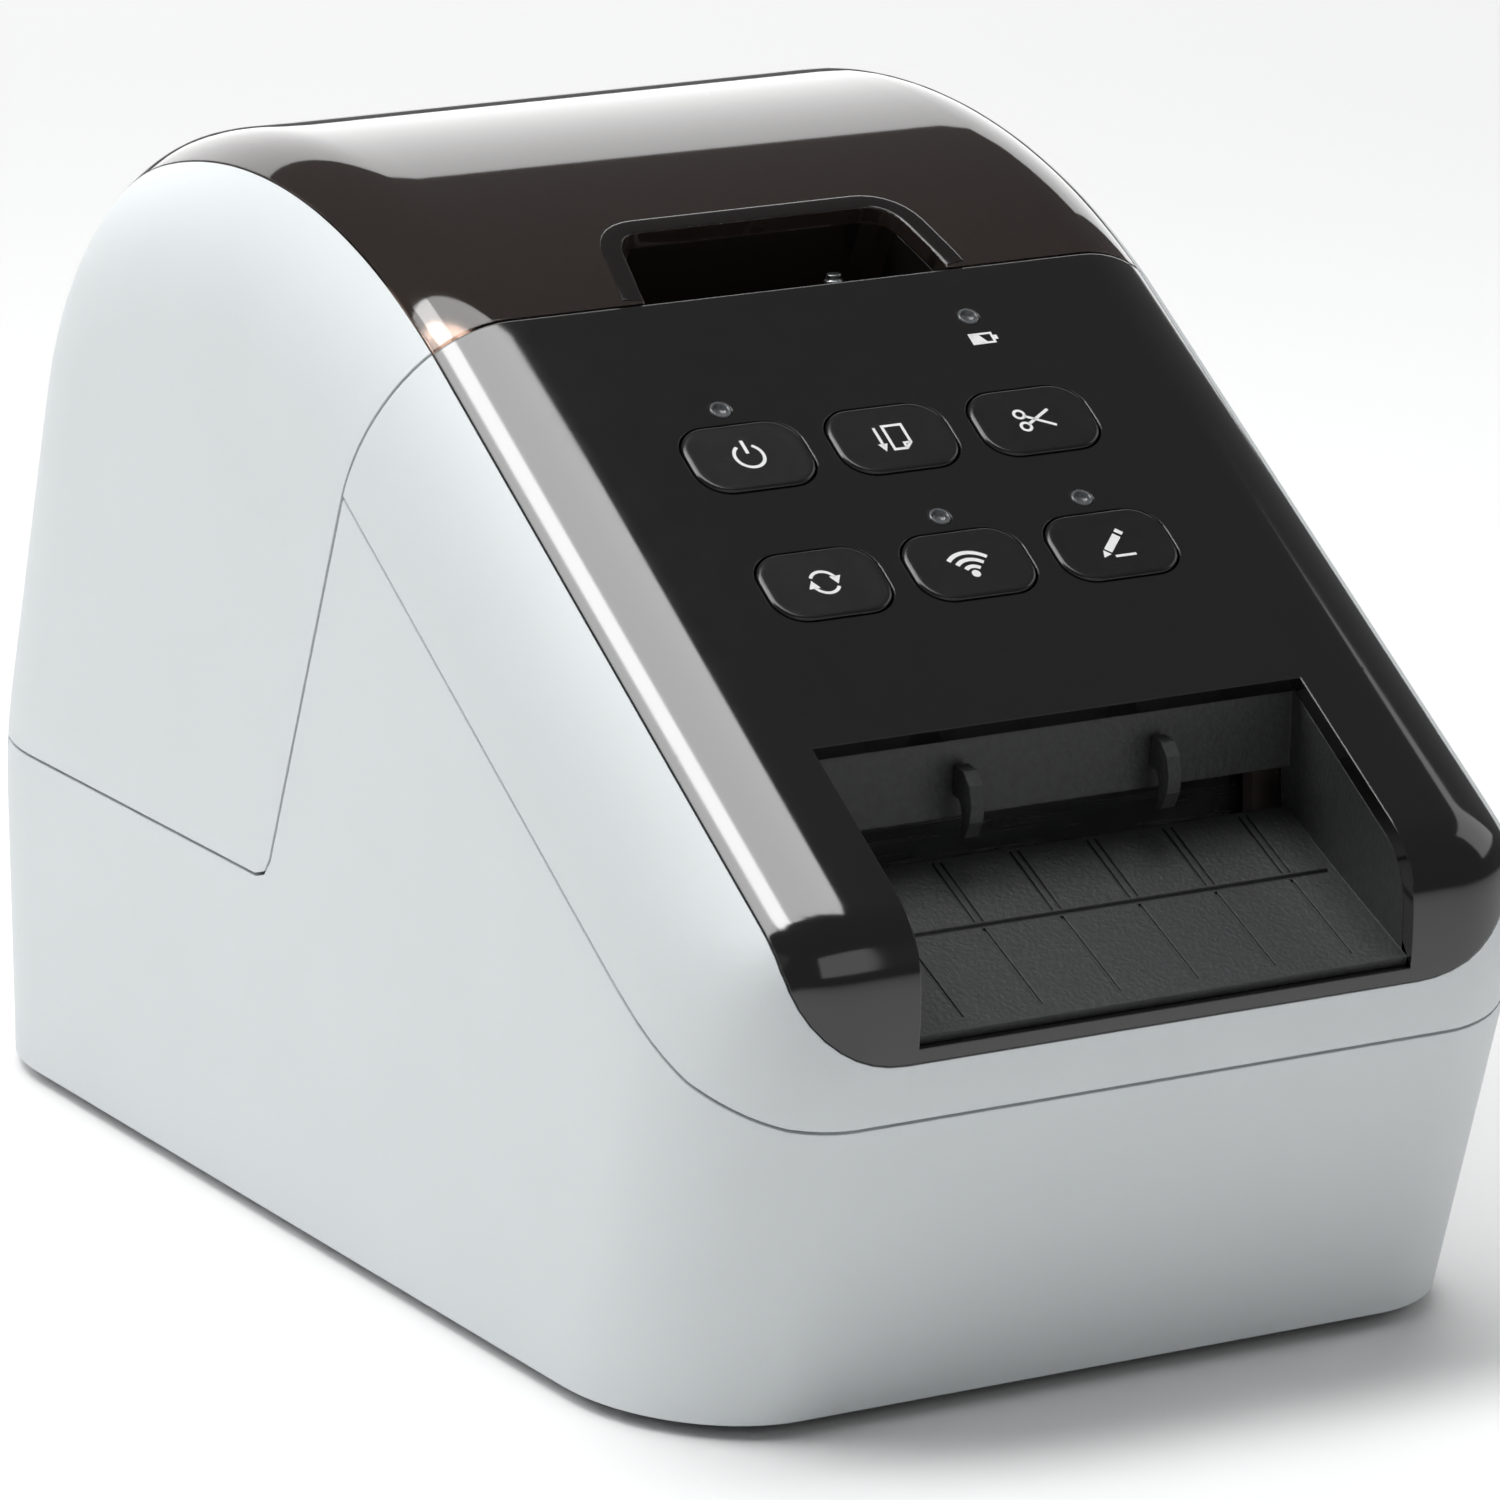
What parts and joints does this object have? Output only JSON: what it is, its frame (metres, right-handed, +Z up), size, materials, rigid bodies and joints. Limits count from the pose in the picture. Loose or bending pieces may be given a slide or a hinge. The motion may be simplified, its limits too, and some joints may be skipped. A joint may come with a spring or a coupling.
{
  "type": "label maker",
  "caption": "Desktop label printer: white shell with undercut front, sloping glossy black key panel, ribbed label tray and a smoky roll lid hinged at the back.",
  "frame": {"origin": "under the middle of the machine, on the plane that the rubber feet stand on", "axes": "+Z up, the label tray and keys face -Y, +Y to the hinge at the back, +X to the right seen from the front"},
  "size_m": [0.125, 0.234, 0.145],
  "materials": {
    "white_shell": "fine spark-eroded texture, cool white",
    "dark_base": "matt dark grey moulding",
    "rubber": "plain soft rubber",
    "black_gloss": "polished piano black",
    "black_gloss_plate": "flat black plate, slightly softer gloss",
    "tray_black": "coarse leather-grain black",
    "key_black": "satin black cap with a white printed symbol",
    "lens": "clear grey light guide",
    "circuit_board": "green solder mask",
    "switch_metal": "tact switch body",
    "smoky_window": "smoky brown see-through moulding",
    "smoky_dark": "dark smoky moulding",
    "steel": "machined steel",
    "inner_dark": "matt black inner moulding",
    "steel_sheet": "zinc plated sheet",
    "gear_plastic": "natural acetal",
    "motor_case": "plated motor can",
    "brass": "turned brass",
    "head_ceramic": "glazed ceramic head",
    "aluminium": "extruded aluminium",
    "spring_steel": "spring steel leaf",
    "chip_black": "component bodies",
    "coil_yellow": "transformer tape and capacitors",
    "black_plain": "plain black moulding"
  },
  "bodies": {
    "base": {"lower_housing": "white_shell", "base_plate": "dark_base", "rubber_feet": "rubber", "bezel": "white_shell", "control_panel": "black_gloss", "key_plate": "black_gloss_plate", "output_tray": "tray_black", "guide_fingers": "tray_black", "indicator_lenses": "lens", "key_board": "circuit_board", "key_switches": "switch_metal", "hinge_brackets": "inner_dark", "roll_cradle": "inner_dark", "spool_supports": "inner_dark", "mech_frame": "steel_sheet", "platen_bushings": "gear_plastic", "idler_stud": "steel", "feed_motor": "motor_case", "head_spring": "spring_steel", "fixed_blade": "steel", "blade_guides": "inner_dark", "cutter_stud": "steel", "cutter_motor": "motor_case", "main_board": "circuit_board", "main_board_chips": "chip_black", "power_board": "circuit_board", "transformer": "coil_yellow", "power_inlet": "black_plain", "usb_port": "steel", "base_screws": "steel", "frame_screws": "steel", "label_guide": "steel_sheet", "inner_cover": "inner_dark", "lid_switch_pin": "steel"},
    "lid": {"lid_shell": "white_shell", "lid_window": "smoky_window", "lid_grip_frame": "smoky_dark", "lid_hinge_arms": "white_shell", "hinge_pins": "steel"},
    "platen": {"platen_shaft": "steel", "platen_roller": "rubber", "platen_gear": "gear_plastic"},
    "idler": {"idler_gear": "gear_plastic"},
    "feed_rotor": {"feed_motor_pinion": "brass"},
    "head": {"print_head": "head_ceramic", "head_heatsink": "aluminium", "head_pivot": "steel"},
    "blade": {"moving_blade": "steel"},
    "cutter_wheel": {"cutter_gear": "gear_plastic"},
    "cutter_rotor": {"cutter_motor_pinion": "brass"},
    "key_power": {"button_power": "key_black"},
    "key_feed": {"button_feed": "key_black"},
    "key_cut": {"button_cut": "key_black"},
    "key_pair": {"button_pair": "key_black"},
    "key_wireless": {"button_wireless": "key_black"},
    "key_edit": {"button_edit": "key_black"}
  },
  "joints": [
    {"name": "lid_hinge", "type": "hinge", "parent": "base", "child": "lid", "pos_m": [0, 0.1095, 0.054], "axis": [-1, 0, 0], "range_deg": [0, 75]},
    {"name": "key_power_press", "type": "slide", "parent": "base", "child": "key_power", "axis": [0, 0.5402, -0.8415], "range_m": [0, 0.0006], "stiffness_N_per_m": 600, "springref_m": -0.0005},
    {"name": "key_feed_press", "type": "slide", "parent": "base", "child": "key_feed", "axis": [0, 0.5402, -0.8415], "range_m": [0, 0.0006], "stiffness_N_per_m": 600, "springref_m": -0.0005},
    {"name": "key_cut_press", "type": "slide", "parent": "base", "child": "key_cut", "axis": [0, 0.5402, -0.8415], "range_m": [0, 0.0006], "stiffness_N_per_m": 600, "springref_m": -0.0005},
    {"name": "key_pair_press", "type": "slide", "parent": "base", "child": "key_pair", "axis": [0, 0.5402, -0.8415], "range_m": [0, 0.0006], "stiffness_N_per_m": 600, "springref_m": -0.0005},
    {"name": "key_wireless_press", "type": "slide", "parent": "base", "child": "key_wireless", "axis": [0, 0.5402, -0.8415], "range_m": [0, 0.0006], "stiffness_N_per_m": 600, "springref_m": -0.0005},
    {"name": "key_edit_press", "type": "slide", "parent": "base", "child": "key_edit", "axis": [0, 0.5402, -0.8415], "range_m": [0, 0.0006], "stiffness_N_per_m": 600, "springref_m": -0.0005},
    {"name": "platen_spin", "type": "hinge", "parent": "base", "child": "platen", "pos_m": [0, -0.052, 0.08205], "axis": [1, 0, 0], "continuous": true},
    {"name": "idler_spin", "type": "hinge", "parent": "base", "child": "idler", "pos_m": [-0.0465, -0.038, 0.0578], "axis": [1, 0, 0], "continuous": true},
    {"name": "feed_rotor_spin", "type": "hinge", "parent": "base", "child": "feed_rotor", "pos_m": [-0.0465, -0.05, 0.03984], "axis": [1, 0, 0], "continuous": true},
    {"name": "head_lift", "type": "hinge", "parent": "base", "child": "head", "pos_m": [0, -0.033, 0.066], "axis": [1, 0, 0], "range_deg": [0, 4], "stiffness_Nm_per_rad": 2, "springref_deg": -11.46, "deforming": ["head_spring"]},
    {"name": "blade_stroke", "type": "slide", "parent": "base", "child": "blade", "axis": [0, 0, -1], "range_m": [0, 0.009]},
    {"name": "cutter_wheel_turn", "type": "hinge", "parent": "base", "child": "cutter_wheel", "pos_m": [0.045, -0.063, 0.06], "axis": [1, 0, 0], "range_deg": [0, 86]},
    {"name": "cutter_rotor_turn", "type": "hinge", "parent": "base", "child": "cutter_rotor", "pos_m": [0.048, -0.05799, 0.04396], "axis": [1, 0, 0], "range_deg": [-275.2, 0]}
  ],
  "couplings": [
    {"joint": "idler_spin", "follows": "platen_spin", "ratio": -0.75},
    {"joint": "feed_rotor_spin", "follows": "platen_spin", "ratio": 2.1429},
    {"joint": "cutter_wheel_turn", "follows": "blade_stroke", "rad_per_m": 166.67},
    {"joint": "cutter_rotor_turn", "follows": "blade_stroke", "rad_per_m": -533.33}
  ]
}
